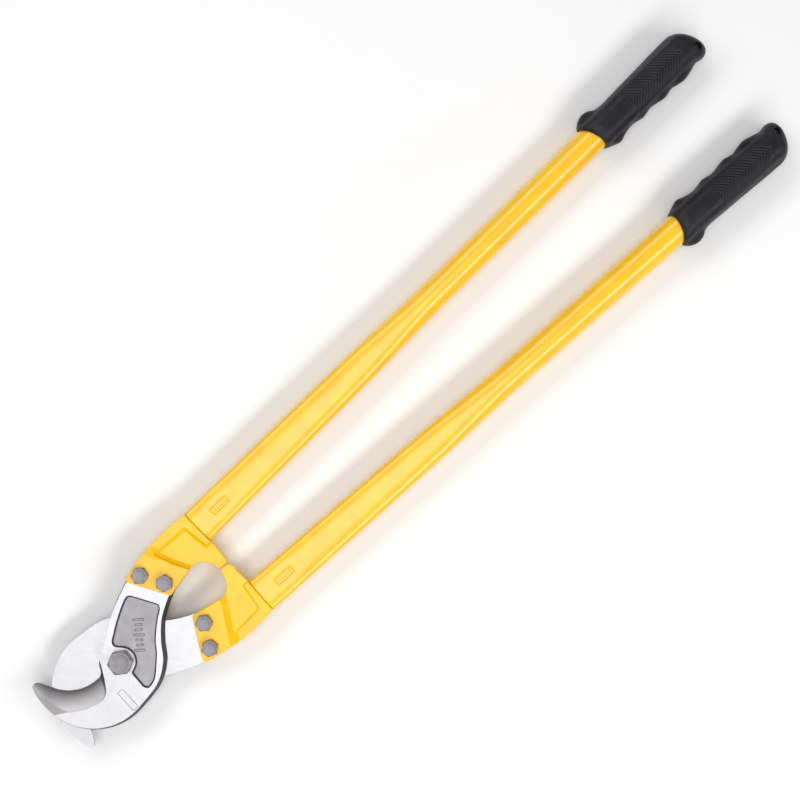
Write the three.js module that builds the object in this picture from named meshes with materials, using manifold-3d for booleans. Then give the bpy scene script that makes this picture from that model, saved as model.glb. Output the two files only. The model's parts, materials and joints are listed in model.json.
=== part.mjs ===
// Long-arm cable shears: two hooked blades on a pivot bolt, each bolted into a forged fork head
// that is staked into the flattened end of a steel tube with a moulded grip.
// Millimetres, +Z up. The origin is where the pivot axis meets the surface the tool lies on,
// +X runs from the pivot to the grips and +Y to the handle of the upper blade.
import * as THREE from "three";
import { mergeVertices } from "three/addons/utils/BufferGeometryUtils.js";
import Module from "manifold-3d";

const wasm = await Module();
wasm.setup();

// ---- driving dimensions ----
const MID_HEIGHT = 17.5; // height of the plane where the two blades slide on each other
const GAP = 0.15; // each half stays this far from that plane, and from its own neighbours
const CLEAR = 0.3; // gap between pieces that touch on the real tool
const BLADE_TOP = 8; // outer face of a blade, from the sliding plane
const BLADE_DRAFT = 2.5; // how much the forged flank narrows the outer face
const SHANK_DRAFT = 1.1; // the same along the outer side of the shank
const POCKET_DEPTH = 1.6;
const PIVOT_RING = 12.1; // metal left round the pivot inside the pocket

const JAW_CENTRE = new THREE.Vector2(-21.5, 12.5); // back of the hook
const JAW_RADIUS = 54.2;
const EDGE_CENTRE = new THREE.Vector2(-27, 40); // cutting edge and the cone it is ground with
const EDGE_RADIUS = 37;
const GRIND_RADIUS = 54;
const EDGE_LAND = 0.6;
const TIP_LINE = [new THREE.Vector2(-46.5, -10.6), new THREE.Vector2(-71.9, 5)]; // where the tip's grind starts

const FORK_CORNER = new THREE.Vector2(50.8, 45.7); // a point on the end line of the fork
const FORK_ANGLE = THREE.MathUtils.degToRad(30); // from +X to the way the blade tail enters
const FORK_SLOT_DEPTH = 20.3;
const PAD_DEPTH = 26.5; // the bolting pad, from the end of the fork to the panel
const JOGGLE_LENGTH = 9; // where the forging steps from the blade's plane to the tube's
const HEAD_HALF = 7.5; // half thickness of the forging
const JOGGLE = BLADE_TOP / 2;
const PANEL_FRONT = 3.2; // depth of the recessed panel on the side facing away from the blades
const PANEL_BACK = 1.2;
const PANEL_DRAFT = 2.6;

const BOLT_BACK = 9.2; // blade bolts, from the end of the fork
const BOLT_FIRST = 8.4; // and along it
const BOLT_PITCH = 22;
const M8 = { radius: 4, across: 13, head: 5.3, nut: 3.8, washer: 1.6, washerRadius: 7 };
const M12 = { radius: 6, across: 19, head: 7.5, nut: 7.4, washer: 1.2, washerRadius: 12 };
const PIVOT_SHOULDER = 7; // radius of the ground shoulder that both blades turn on
const NYLON_RING = 1.8; // height of the locking ring in the pivot nut
const PIVOT_TURN = -5; // how far each hexagon was left turned when tightened, in degrees
const BOLT_TURNS = { upper: [-13, 17], lower: [7, -8] };

const HANDLE_START = new THREE.Vector2(125.2, 40.25); // where the tube butts against the head
const HANDLE_TILT = THREE.MathUtils.degToRad(1.57);
const TUBE_RADIUS = 12.7;
const TUBE_WALL = 2;
const TUBE_LENGTH = 585;
const FLAT_HALF_WIDTH = 16.3; // the tube's section where it is pressed flat
const FLAT_HALF_HEIGHT = 6.5;
const FLAT_POWER = 3.4;
const TANG_LENGTH = 58;
const STAKE = { at: 27, length: 18.7, width: 5.9, depth: 0.7 };

const GRIP_START = 475; // middle of the grip's mouth, from the start of the tube
const GRIP_LEAN = 0.26; // slope of the mouth
const GRIP_BOW = 3.2; // how far the mouth curves back over the tube's top and underside
const GRIP_END = 600.4;
const GRIP_CORE = 14.8; // half width of the grip's straight core
const GRIP_HALF_HEIGHT = 16.3;
const COLLAR_HALF_HEIGHT = MID_HEIGHT;
const LOBE_HALF_HEIGHT = 10; // of the finger lobes and the collar's ears
const LOBE_SOFTNESS = 12; // how sharply the lobes meet the core: higher is sharper
const HANG_HOLE = { at: 593.4, across: -7, radius: 3.2 };

// ---- materials ----
const MATERIALS = {
  groundSteel: new THREE.MeshStandardMaterial({ color: 0xdfe1e6, roughness: 0.32, metalness: 0.9 }),
  hardware: new THREE.MeshStandardMaterial({ color: 0x8c8a90, roughness: 0.45, metalness: 0.8 }),
  yellowPaint: new THREE.MeshStandardMaterial({ color: 0xf6bf0b, roughness: 0.3, metalness: 0 }),
  blackRubber: new THREE.MeshStandardMaterial({ color: 0x2c2c30, roughness: 0.75, metalness: 0 }),
  nylon: new THREE.MeshStandardMaterial({ color: 0x2c4f86, roughness: 0.5, metalness: 0 }),
};

// ---- solids ----
function toSolid(geometry) {
  const bare = geometry.index ? geometry.toNonIndexed() : geometry.clone();
  bare.deleteAttribute("normal");
  bare.deleteAttribute("uv");
  const merged = mergeVertices(bare, 1e-4);
  const corners = [];
  for (let i = 0; i < merged.index.count; i += 3) {
    const [a, b, c] = merged.index.array.slice(i, i + 3);
    // A turned profile that starts on its axis leaves triangles with no area there.
    if (a !== b && b !== c && c !== a) corners.push(a, b, c);
  }
  return new wasm.Manifold(
    new wasm.Mesh({
      numProp: 3,
      vertProperties: merged.attributes.position.array,
      triVerts: new Uint32Array(corners),
    }),
  );
}

function toGeometry(solid) {
  const mesh = solid.getMesh();
  const geometry = new THREE.BufferGeometry();
  geometry.setAttribute("position", new THREE.BufferAttribute(mesh.vertProperties, 3));
  geometry.setIndex(new THREE.BufferAttribute(mesh.triVerts, 1));
  geometry.computeVertexNormals();
  return geometry;
}

const cut = (first, ...rest) =>
  toGeometry(rest.reduce((solid, g) => solid.subtract(toSolid(g)), toSolid(first)));
const join = (first, ...rest) =>
  toGeometry(rest.reduce((solid, g) => solid.add(toSolid(g)), toSolid(first)));
const common = (first, ...rest) =>
  toGeometry(rest.reduce((solid, g) => solid.intersect(toSolid(g)), toSolid(first)));

// A closed body through outlines of equal point count, drawn in XY and stacked along Z. A
// section's slant raises each of its points by slant(point). Both ends share one triangulation.
function loft(sections) {
  const count = sections[0].outline.length;
  const positions = [];
  const indices = [];
  for (const { outline, at, slant = () => 0 } of sections)
    for (const p of outline) positions.push(p.x, p.y, at + slant(p));
  for (let s = 0; s + 1 < sections.length; s++)
    for (let i = 0; i < count; i++) {
      const a = s * count + i;
      const b = s * count + ((i + 1) % count);
      indices.push(a, b, b + count, a, b + count, a + count);
    }
  const last = (sections.length - 1) * count;
  const size = (section) => THREE.ShapeUtils.area(section.outline);
  const widest = sections.reduce((best, section) => (size(section) > size(best) ? section : best));
  for (const [a, b, c] of THREE.ShapeUtils.triangulateShape(widest.outline, []))
    indices.push(a, c, b, last + a, last + b, last + c);
  const geometry = new THREE.BufferGeometry();
  geometry.setAttribute("position", new THREE.Float32BufferAttribute(positions, 3));
  geometry.setIndex(indices);
  return geometry;
}

// The outline's points, counter-clockwise and with doubled ones left out.
function outlineOf(shape, divisions = 8) {
  const points = shape.getPoints(divisions);
  const kept = points.filter((p, i) => p.distanceTo(points.at(i - 1)) > 0.02);
  return THREE.ShapeUtils.isClockWise(kept) ? kept.reverse() : kept;
}

// The outline moved outward along its corners' normals by amount(point); negative moves it in.
function grown(outline, amount) {
  const count = outline.length;
  return outline.map((p, i) => {
    const before = new THREE.Vector2().subVectors(p, outline[(i + count - 1) % count]).normalize();
    const after = new THREE.Vector2().subVectors(outline[(i + 1) % count], p).normalize();
    const normal = new THREE.Vector2(before.y + after.y, -before.x - after.x).normalize();
    const reach = Math.max(0.5, normal.dot(new THREE.Vector2(after.y, -after.x)));
    return p.clone().addScaledVector(normal, amount(p) / reach);
  });
}

const prism = (outline, low, high) =>
  loft([
    { outline, at: low },
    { outline, at: high },
  ]);
const polygon = (...points) => points.map(([x, y]) => new THREE.Vector2(x, y));

function cylinder(radius, low, high, x = 0, y = 0, segments = 28) {
  const geometry = new THREE.CylinderGeometry(radius, radius, high - low, segments);
  return geometry.rotateX(Math.PI / 2).translate(x, y, (low + high) / 2);
}

// ---- fork directions: along() runs across the fork from its outer side, into() to its root ----
const INTO = new THREE.Vector2(Math.cos(FORK_ANGLE), Math.sin(FORK_ANGLE));
const ALONG = new THREE.Vector2(Math.sin(FORK_ANGLE), -Math.cos(FORK_ANGLE));
const forkPoint = (along, into) =>
  FORK_CORNER.clone().addScaledVector(ALONG, along).addScaledVector(INTO, into);
const BOLTS = [0, 1].map((i) => forkPoint(BOLT_FIRST + i * BOLT_PITCH, BOLT_BACK).toArray());

// ---- blade ----
const onCircle = (centre, radius, degrees) => {
  const angle = THREE.MathUtils.degToRad(degrees);
  return [centre.x + radius * Math.cos(angle), centre.y + radius * Math.sin(angle)];
};
const arc = (shape, centre, radius, from, to) =>
  shape.absarc(
    centre.x,
    centre.y,
    radius,
    THREE.MathUtils.degToRad(from),
    THREE.MathUtils.degToRad(to),
    to < from,
  );

function bladeOutline() {
  const jawStart = onCircle(JAW_CENTRE, JAW_RADIUS, -85);
  const tipStart = onCircle(JAW_CENTRE, JAW_RADIUS, -184);
  const edgeStart = onCircle(EDGE_CENTRE, EDGE_RADIUS, 204);
  const shape = new THREE.Shape();
  shape.moveTo(88, 16.8);
  shape.splineThru(polygon([72.6, 12.8], [52.6, 2], [39, -11.6], [28, -26], [10, -37.3], jawStart));
  arc(shape, JAW_CENTRE, JAW_RADIUS, -85, -184);
  shape.bezierCurveTo(tipStart[0] + 0.9, tipStart[1] + 13, -73.4, 37.2, -70.2, 37.2);
  shape.bezierCurveTo(-67, 37.2, -65.2, 34, ...edgeStart);
  arc(shape, EDGE_CENTRE, EDGE_RADIUS, 204, 272);
  shape.splineThru(polygon([-20.3, 5.2], [-16.6, 10.8], [-10.2, 15.8]));
  shape.splineThru(polygon([0.2, 21.9], [13, 31.2], [26.4, 38.9], [37, 43.9], [47.5, 47.8]));
  shape.lineTo(58, 49.6);
  shape.lineTo(...forkPoint(5, FORK_SLOT_DEPTH - 0.8).toArray());
  shape.lineTo(...forkPoint(38, FORK_SLOT_DEPTH - 0.8).toArray());
  shape.closePath();
  return outlineOf(shape, 8);
}

// The recess in the outer face: it keeps a ring of metal round the pivot.
function pocketOutline() {
  const shape = new THREE.Shape();
  shape.moveTo(55.4, 17.4);
  shape.quadraticCurveTo(58.2, 13.3, 54.3, 10);
  shape.splineThru(polygon([45.6, 3.8], [34, -6.8], [26.5, -16.3], [12.7, -29.1], [5.6, -32.2]));
  shape.quadraticCurveTo(0.3, -33.6, -0.9, -28);
  shape.lineTo(-0.3, -14.6);
  shape.quadraticCurveTo(-0.1, -12.2, 2.7, -11.8);
  arc(shape, new THREE.Vector2(0, 0), PIVOT_RING, -77, 48);
  shape.quadraticCurveTo(4.8, 11.8, 4.4, 14);
  shape.quadraticCurveTo(3.8, 17.4, 7.4, 19.7);
  shape.splineThru(polygon([18.8, 27.2], [29.7, 33.4], [37.4, 37]));
  shape.quadraticCurveTo(42.4, 39.3, 44.8, 35.6);
  shape.closePath();
  return outlineOf(shape, 4);
}

// Removes what the grinding wheel does: a hollow cone above the cutting edge, up to the pivot boss.
function grindCutter() {
  const rise = BLADE_TOP - GAP - EDGE_LAND;
  const low = GAP + EDGE_LAND;
  const profile = [
    [0, low],
    [EDGE_RADIUS, low],
    [EDGE_RADIUS + 4.2, low + rise * 0.17],
    [EDGE_RADIUS + 8.5, low + rise * 0.4],
    [EDGE_RADIUS + 12.8, low + rise * 0.68],
    [GRIND_RADIUS, BLADE_TOP],
    [GRIND_RADIUS + 2, BLADE_TOP + 1],
    [GRIND_RADIUS + 2, BLADE_TOP + 4],
    [0, BLADE_TOP + 4],
  ];
  const cone = new THREE.LatheGeometry(polygon(...profile), 84).rotateX(Math.PI / 2);
  cone.translate(EDGE_CENTRE.x, EDGE_CENTRE.y, 0);
  return common(cone, hookSide());
}

// What the cone may grind away: the hook, as far as the throat's slanting wall.
function hookSide() {
  const throat = [[-10.5, 19], [-13, 12.6], [-19.5, 0.4], [-25.7, -8.9], [-29.3, -12], [-34, -13.5]];
  const wall = polygon([-10.5, 60], ...throat, [-38, -14.2], [-85, -14.2], [-85, 60]);
  const foot = wall.map((p) => new THREE.Vector2(p.x - 4.5, p.y + 2.6));
  return loft([
    { outline: orient(foot), at: 0 },
    { outline: orient(wall), at: BLADE_TOP + 0.2 },
    { outline: orient(wall), at: BLADE_TOP + 6 },
  ]);
}

const orient = (outline) =>
  THREE.ShapeUtils.isClockWise(outline) ? [...outline].reverse() : outline;

// Thins the last stretch of the hook: a hollow cut that starts across the jaw and runs to the tip.
function tipCutter() {
  const profile = new THREE.Shape();
  profile.moveTo(-0.4, BLADE_TOP + 0.1);
  profile.splineThru(polygon([7, 5.7], [14, 4.2], [22, 3.2], [32, 2.6], [46, 2.5]));
  profile.lineTo(46, BLADE_TOP + 6);
  profile.lineTo(-0.4, BLADE_TOP + 6);
  profile.closePath();
  const cutter = new THREE.ExtrudeGeometry(profile, { depth: 60, bevelEnabled: false, curveSegments: 3 });
  // Profile x runs to the tip, its y is height, and the extrusion runs along the start line.
  const line = TIP_LINE[1].clone().sub(TIP_LINE[0]).normalize();
  const basis = new THREE.Matrix4().makeBasis(
    new THREE.Vector3(line.y, -line.x, 0),
    new THREE.Vector3(0, 0, 1),
    new THREE.Vector3(-line.x, -line.y, 0),
  );
  cutter.translate(0, 0, -60).applyMatrix4(basis).translate(TIP_LINE[0].x, TIP_LINE[0].y, 0);
  return cutter;
}

// The forged flank leans in most along the back of the hook and the inner side of the shank, and
// a little along the shank's outer side.
function flankDraft(p) {
  const fromEdge = THREE.MathUtils.smoothstep(p.distanceTo(EDGE_CENTRE), 46, 62);
  const outerSide = THREE.MathUtils.smoothstep(p.y, 15, 32);
  const shank = THREE.MathUtils.smoothstep(p.x, -8, 6);
  return -BLADE_DRAFT * fromEdge * (1 - 0.8 * outerSide) - SHANK_DRAFT * shank * outerSide;
}

function blade() {
  const outline = bladeOutline();
  const pocket = pocketOutline();
  const body = loft([
    { outline, at: GAP },
    { outline: grown(outline, (p) => 0.2 * flankDraft(p)), at: GAP + 2 },
    { outline: grown(outline, flankDraft), at: BLADE_TOP },
  ]);
  const recess = loft([
    { outline: grown(pocket, () => -0.7), at: BLADE_TOP - POCKET_DEPTH },
    { outline: pocket, at: BLADE_TOP + 0.01 },
    { outline: pocket, at: BLADE_TOP + 2 },
  ]);
  const holes = BOLTS.map(([x, y]) => cylinder(M8.radius + CLEAR, -1, BLADE_TOP + 1, x, y, 24));
  const pivot = cylinder(PIVOT_SHOULDER + CLEAR / 2, -1, BLADE_TOP + 1);
  return cut(body, grindCutter(), tipCutter(), recess, pivot, ...holes);
}

// ---- fork head ----
function headOutline() {
  const shape = new THREE.Shape();
  shape.moveTo(52.6, 42.6);
  shape.quadraticCurveTo(50, 47.4, 51.4, 49.2);
  shape.quadraticCurveTo(52.4, 50.4, 55, 50.8);
  shape.splineThru(polygon([72, 54.3], [88.3, 56.4], [106, 57], [124.8, 55.7]));
  shape.lineTo(125.7, 24.2);
  shape.lineTo(124.6, 4);
  shape.quadraticCurveTo(124.2, GAP, 121, GAP);
  shape.lineTo(117.4, GAP);
  shape.quadraticCurveTo(115, GAP, 114.3, 3);
  shape.bezierCurveTo(113.5, 9.5, 109.5, 18.2, 100.5, 18.2);
  shape.quadraticCurveTo(96, 18.2, 91, 17.1);
  shape.lineTo(71.6, 12.7);
  shape.quadraticCurveTo(69.6, 12.2, 68.5, 14.9);
  shape.closePath();
  return outlineOf(shape, 7);
}

// The forging's thickness along the fork's own direction: it steps from the blade to the tube.
function headSide() {
  const low = JOGGLE - HEAD_HALF;
  const high = JOGGLE + HEAD_HALF;
  const profile = polygon(
    [-20, low],
    [PAD_DEPTH, low],
    [PAD_DEPTH + JOGGLE_LENGTH, -HEAD_HALF],
    [120, -HEAD_HALF],
    [120, HEAD_HALF],
    [PAD_DEPTH + JOGGLE_LENGTH, HEAD_HALF],
    [PAD_DEPTH, high],
    [-20, high],
  );
  const basis = new THREE.Matrix4().makeBasis(
    new THREE.Vector3(INTO.x, INTO.y, 0),
    new THREE.Vector3(0, 0, 1),
    new THREE.Vector3(ALONG.x, ALONG.y, 0),
  );
  return prism(profile, -60, 120).applyMatrix4(basis).translate(FORK_CORNER.x, FORK_CORNER.y, 0);
}

// The recessed panel, open towards the stop lug.
function panelOutline() {
  const padEnd = forkPoint(32, PAD_DEPTH);
  const shape = new THREE.Shape();
  shape.moveTo(121, 24);
  shape.lineTo(118.2, 44.4);
  shape.quadraticCurveTo(117.7, 47.4, 114.6, 47.6);
  shape.lineTo(86.4, 49);
  shape.quadraticCurveTo(82.4, 49.2, 84.2, 45.4);
  shape.lineTo(padEnd.x, padEnd.y);
  shape.lineTo(116, -14);
  shape.lineTo(142, -14);
  shape.lineTo(142, 24);
  shape.closePath();
  return outlineOf(shape, 5);
}

function tubeFrame() {
  const frame = new THREE.Matrix4().makeRotationZ(HANDLE_TILT);
  return frame.setPosition(HANDLE_START.x, HANDLE_START.y, 0);
}

// Turns a loft along Z into one along X, its outline's x across the handle and y up.
const ALONG_HANDLE = new THREE.Matrix4().makeBasis(
  new THREE.Vector3(0, 1, 0),
  new THREE.Vector3(0, 0, 1),
  new THREE.Vector3(1, 0, 0),
);

function forkHead() {
  const outline = headOutline();
  const slab = prism(outline, -HEAD_HALF - 2, JOGGLE + HEAD_HALF + 2);
  const plate = common(slab, headSide());
  const panel = panelOutline();
  const front = loft([
    { outline: grown(panel, () => -PANEL_DRAFT), at: HEAD_HALF - PANEL_FRONT },
    { outline: panel, at: HEAD_HALF },
    { outline: grown(panel, () => 0.6), at: HEAD_HALF + JOGGLE + 1 },
  ]);
  const back = loft([
    { outline: panel, at: -HEAD_HALF - 1 },
    { outline: grown(panel, () => -0.8), at: -HEAD_HALF + PANEL_BACK },
  ]);
  const slot = prism(
    orient([
      forkPoint(-15, -15),
      forkPoint(60, -15),
      forkPoint(60, FORK_SLOT_DEPTH),
      forkPoint(-15, FORK_SLOT_DEPTH),
    ]),
    -GAP,
    BLADE_TOP + CLEAR,
  );
  const tangRings = [0, 0.2, 0.8, 1].map((share) => ({
    outline: flatSection(share * TANG_LENGTH, TUBE_WALL + CLEAR + 0.8 * share, 24),
    at: share * TANG_LENGTH - 2,
  }));
  const tang = loft(tangRings).applyMatrix4(ALONG_HANDLE).applyMatrix4(tubeFrame());
  const holes = BOLTS.map(([x, y]) => cylinder(M8.radius + CLEAR, -20, 20, x, y, 24));
  return cut(join(plate, tang), front, back, slot, ...holes);
}

// ---- handle tube ----
// How flat the tube is pressed: full at the head, easing off along it, then round.
function flatness(x) {
  const ease = THREE.MathUtils.smoothstep(x, 190, 290);
  return Math.max(0, 1 - x / 435) * (1 - ease);
}

function flatSection(x, inset, count) {
  const flat = flatness(x);
  const halfWidth = THREE.MathUtils.lerp(TUBE_RADIUS, FLAT_HALF_WIDTH, flat) - inset;
  const halfHeight = THREE.MathUtils.lerp(TUBE_RADIUS, FLAT_HALF_HEIGHT, flat) - inset;
  const power = 2 / THREE.MathUtils.lerp(2, FLAT_POWER, flat);
  return Array.from({ length: count }, (_, i) => {
    const angle = (2 * Math.PI * (i + 0.5)) / count;
    const c = Math.cos(angle);
    const s = Math.sin(angle);
    return new THREE.Vector2(
      halfWidth * Math.sign(c) * Math.abs(c) ** power,
      halfHeight * Math.sign(s) * Math.abs(s) ** power,
    );
  });
}

function handleTube() {
  const stations = [0, 70, 140, 190, 210, 230, 250, 270, 290];
  const wall = (inset, low, high) =>
    loft([
      { outline: flatSection(0, inset, 28), at: low },
      ...stations.slice(1).map((x) => ({ outline: flatSection(x, inset, 28), at: x })),
      { outline: flatSection(TUBE_LENGTH, inset, 28), at: high },
    ]);
  const stake = (side) =>
    new THREE.BoxGeometry(STAKE.width, 2 * STAKE.depth, STAKE.length).translate(
      0,
      side * (FLAT_HALF_HEIGHT - 0.3),
      STAKE.at,
    );
  const outer = wall(0, CLEAR, TUBE_LENGTH);
  return cut(outer, wall(TUBE_WALL, -5, TUBE_LENGTH + 5), stake(1), stake(-1)).applyMatrix4(ALONG_HANDLE);
}

// ---- grip ----
// Distance of the grip's outer side and finger side from the tube's axis, and half its height.
function spline(...points) {
  const curve = new THREE.CatmullRomCurve3(
    points.map(([x, y]) => new THREE.Vector3(x, y, 0)),
    false,
    "centripetal",
  );
  return curve.getPoints(8 * points.length).map((p) => [p.x, p.y]);
}

function atStation(points, x) {
  const next = points.findIndex((p) => p[0] >= x);
  if (next <= 0) return points.at(next === 0 ? 0 : -1)[1];
  const [x0, y0] = points[next - 1];
  const [x1, y1] = points[next];
  return y0 + ((y1 - y0) * (x - x0)) / (x1 - x0);
}

const GRIP_BACK = spline(
  [GRIP_START, 13.6], [480, 18.6], [485.5, 21], [490, 20.2], [496, 15.6], [520, 15.5], [575, 17.1],
  [583, 16.6], [589, 13.6], [594, 8.6], [597.6, 2], [599.8, -5], [GRIP_END, -8.5],
);
const GRIP_FINGERS = spline(
  [GRIP_START, 13.6], [479, 15.5], [486, 18.6], [492, 19.2], [499, 17], [507.5, 15], [513, 16],
  [520, 17.8], [525, 17], [530.5, 15.8], [537, 17.2], [545, 18.9], [550, 18], [555, 17],
  [561, 18.6], [569, 19.7], [577, 18], [585.5, 15.6], [592.5, 16.6], [597.5, 14.6], [GRIP_END, 8.6],
);
const GRIP_HEIGHT = spline(
  [GRIP_START, 14.6], [478, 16.4], [483, COLLAR_HALF_HEIGHT], [488, 17.4], [500, 16.7],
  [515, GRIP_HALF_HEIGHT], [580, GRIP_HALF_HEIGHT], [590, 14.6], [596.5, 10.2], [GRIP_END, 4.8],
);

// The larger of two radii, rounded off where they are alike.
const softMax = (a, b) => (a ** LOBE_SOFTNESS + b ** LOBE_SOFTNESS) ** (1 / LOBE_SOFTNESS);

function ovalRadius(c, s, halfWidth, halfHeight, power) {
  return (Math.abs(c / halfWidth) ** power + Math.abs(s / halfHeight) ** power) ** (-1 / power);
}

// A straight core with a lower lobe on each side: the ears, the fingers and the back.
function gripSection(x, count) {
  const back = atStation(GRIP_BACK, x);
  const fingers = atStation(GRIP_FINGERS, x);
  const halfHeight = Math.min(atStation(GRIP_HEIGHT, x), COLLAR_HALF_HEIGHT);
  const ending = THREE.MathUtils.smoothstep(x, 574, 590);
  const middle = ((back - fingers) / 2) * ending;
  const lobeHeight = Math.min(LOBE_HALF_HEIGHT, 0.8 * halfHeight);
  return Array.from({ length: count }, (_, i) => {
    const angle = (2 * Math.PI * i) / count;
    const c = Math.cos(angle);
    const s = Math.sin(angle);
    const side = Math.max(1.5, c > 0 ? back - middle : fingers + middle);
    const core = Math.min(GRIP_CORE, 0.985 * side);
    const lobe = ovalRadius(c, s, 0.99 * side, lobeHeight, 2.2);
    const radius = softMax(ovalRadius(c, s, core, halfHeight, 2.6), lobe);
    return new THREE.Vector2(middle + radius * c, radius * s);
  });
}

function grip() {
  const mouth = [0, 1.5, 4, 8, 12, 16].map((step) => GRIP_START + step);
  const middle = Array.from({ length: 19 }, (_, i) => GRIP_START + 20.5 + 5 * i);
  const end = [7.4, 4.4, 2.2, 0.8, 0].map((step) => GRIP_END - step);
  const body = loft(
    [...mouth, ...middle, 589, ...end].map((x) => {
      const fade = 1 - THREE.MathUtils.smoothstep(x, GRIP_START, GRIP_START + 24);
      const slant = (p) => fade * (GRIP_BOW * (p.y / COLLAR_HALF_HEIGHT) ** 2 - GRIP_LEAN * p.x);
      return { outline: gripSection(x, 28), at: x, slant };
    }),
  ).applyMatrix4(ALONG_HANDLE);
  const bore = cylinder(TUBE_RADIUS + CLEAR, 450, TUBE_LENGTH + CLEAR, 0, 0, 28);
  bore.applyMatrix4(ALONG_HANDLE);
  const hole = cylinder(HANG_HOLE.radius, -20, 20, HANG_HOLE.at, HANG_HOLE.across, 16);
  return cut(body, bore, hole);
}

// ---- fasteners, each standing on z = 0 with its outer face up ----
// A hexagon, across wide between its flats, its outer corners turned off to a cone.
function hexagon(across, height, bothEnds) {
  const corner = across / Math.sqrt(3);
  const chamfer = (corner - across * 0.475) * Math.tan(Math.PI / 6);
  const hex = new THREE.CylinderGeometry(corner, corner, height, 6);
  hex.rotateX(Math.PI / 2).translate(0, 0, height / 2);
  const start = bothEnds ? [[0, 0], [across * 0.475, 0], [corner, chamfer]] : [[0, -1], [corner + 1, -1]];
  const profile = [...start, [corner + 0.01, height - chamfer], [across * 0.475, height], [0, height]];
  const turned = new THREE.LatheGeometry(polygon(...profile), 24).rotateX(Math.PI / 2);
  return common(hex, turned);
}

// Bolt with its head on z = 0 and its shank below, length long and shoulder thick at first.
function bolt(size, length, shoulder = null, shoulderLength = 0) {
  const r = size.radius;
  const shaft = [[0, -length], [r - 1, -length], [r, -length + 1], [r, -shoulderLength]];
  const neck = shoulder ? [[shoulder, -shoulderLength], [shoulder, 1]] : [[r, 1]];
  const profile = polygon(...shaft, ...neck, [0, 1]);
  const shank = new THREE.LatheGeometry(profile, 28).rotateX(Math.PI / 2);
  return join(hexagon(size.across, size.head, false), shank);
}

function nut(size, height) {
  return cut(hexagon(size.across, height, true), cylinder(size.radius + CLEAR / 2, -1, height + 1));
}

function washer(radius, hole, height) {
  return cut(cylinder(radius, 0, height), cylinder(hole, -1, height + 1));
}

// Spring washer: a ring split by a slanting saw cut.
function lockWasher(size) {
  const saw = new THREE.BoxGeometry(12, 1.2, 8).rotateX(0.5).translate(size.radius + 6, 0, size.washer / 2);
  return cut(washer(size.washerRadius, size.radius + CLEAR, size.washer), saw);
}

// ---- assembly ----
const materialOf = {
  blade: MATERIALS.groundSteel,
  fork_head: MATERIALS.yellowPaint,
  handle_tube: MATERIALS.yellowPaint,
  grip: MATERIALS.blackRubber,
};

function mesh(name, geometry, material) {
  const made = new THREE.Mesh(geometry, material);
  made.name = name;
  return made;
}

// Stands a part at (x, y, z), turned about its own axis, then upside down if side is negative.
function place(part, x, y, z, side, turn = 0) {
  part.position.set(x, y, z);
  part.rotation.set(side < 0 ? Math.PI : 0, 0, THREE.MathUtils.degToRad(turn));
  return part;
}

// One half of the tool. headSide is +1 where its bolt heads face along the half's own +Z.
function half(name, headSide) {
  const group = new THREE.Group();
  group.add(mesh(`${name}_blade`, blade(), materialOf.blade));
  group.add(mesh(`${name}_fork_head`, forkHead(), materialOf.fork_head));

  const handle = new THREE.Group();
  handle.position.set(HANDLE_START.x, HANDLE_START.y, 0);
  handle.rotation.z = HANDLE_TILT;
  handle.add(mesh(`${name}_handle_tube`, handleTube(), materialOf.handle_tube));
  handle.add(mesh(`${name}_grip`, grip(), materialOf.grip));
  group.add(handle);

  const top = JOGGLE + HEAD_HALF + GAP;
  const bottom = JOGGLE - HEAD_HALF - GAP;
  const headFace = headSide > 0 ? top : bottom;
  const nutFace = headSide > 0 ? bottom : top;
  const nutOffset = M8.washer + GAP;
  const length = top - bottom + nutOffset + M8.nut + GAP;
  BOLTS.forEach(([x, y], i) => {
    const tag = i + 1;
    const turn = BOLT_TURNS[name][i];
    const boltMesh = mesh(`${name}_blade_bolt_${tag}`, bolt(M8, length), MATERIALS.hardware);
    const washerMesh = mesh(`${name}_lock_washer_${tag}`, lockWasher(M8), MATERIALS.hardware);
    const nutMesh = mesh(`${name}_blade_nut_${tag}`, nut(M8, M8.nut), MATERIALS.hardware);
    group.add(place(boltMesh, x, y, headFace, headSide, turn));
    group.add(place(washerMesh, x, y, nutFace, -headSide));
    group.add(place(nutMesh, x, y, nutFace - headSide * nutOffset, -headSide, turn));
  });
  return group;
}

// The pivot: a shoulder bolt from above, a washer and a locking nut with its nylon ring below.
function pivot() {
  const group = new THREE.Group();
  const length = MID_HEIGHT + BLADE_TOP + GAP;
  const shoulderLength = 2 * BLADE_TOP;
  const washerFace = -BLADE_TOP - GAP;
  const nutFace = washerFace - M12.washer - GAP;
  const body = bolt(M12, length, PIVOT_SHOULDER, shoulderLength);
  const nutBody = hexagon(M12.across, M12.nut - NYLON_RING, true);
  const collar = cylinder(M12.across * 0.455, 0, M12.nut - 0.2);
  const seat = cylinder(M12.radius + 1.4, M12.nut - NYLON_RING - CLEAR, M12.nut + 1);
  const thread = cylinder(M12.radius + GAP, -1, M12.nut + 1);
  const nutShape = cut(join(nutBody, collar), seat, thread);
  const washerShape = washer(M12.washerRadius, M12.radius + CLEAR, M12.washer);
  const ringShape = washer(M12.radius + 1.4 - GAP, M12.radius + GAP, NYLON_RING - CLEAR);
  const nutMesh = mesh("pivot_nut", nutShape, MATERIALS.hardware);
  const washerMesh = mesh("pivot_washer", washerShape, MATERIALS.hardware);
  const ringMesh = mesh("pivot_nut_ring", ringShape, MATERIALS.nylon);
  const boltMesh = mesh("pivot_bolt", body, MATERIALS.hardware);
  group.add(place(boltMesh, 0, 0, BLADE_TOP + GAP, 1, PIVOT_TURN));
  group.add(place(washerMesh, 0, 0, washerFace, -1));
  group.add(place(nutMesh, 0, 0, nutFace, -1));
  group.add(place(ringMesh, 0, 0, nutFace - M12.nut + NYLON_RING, -1));
  return group;
}

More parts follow.
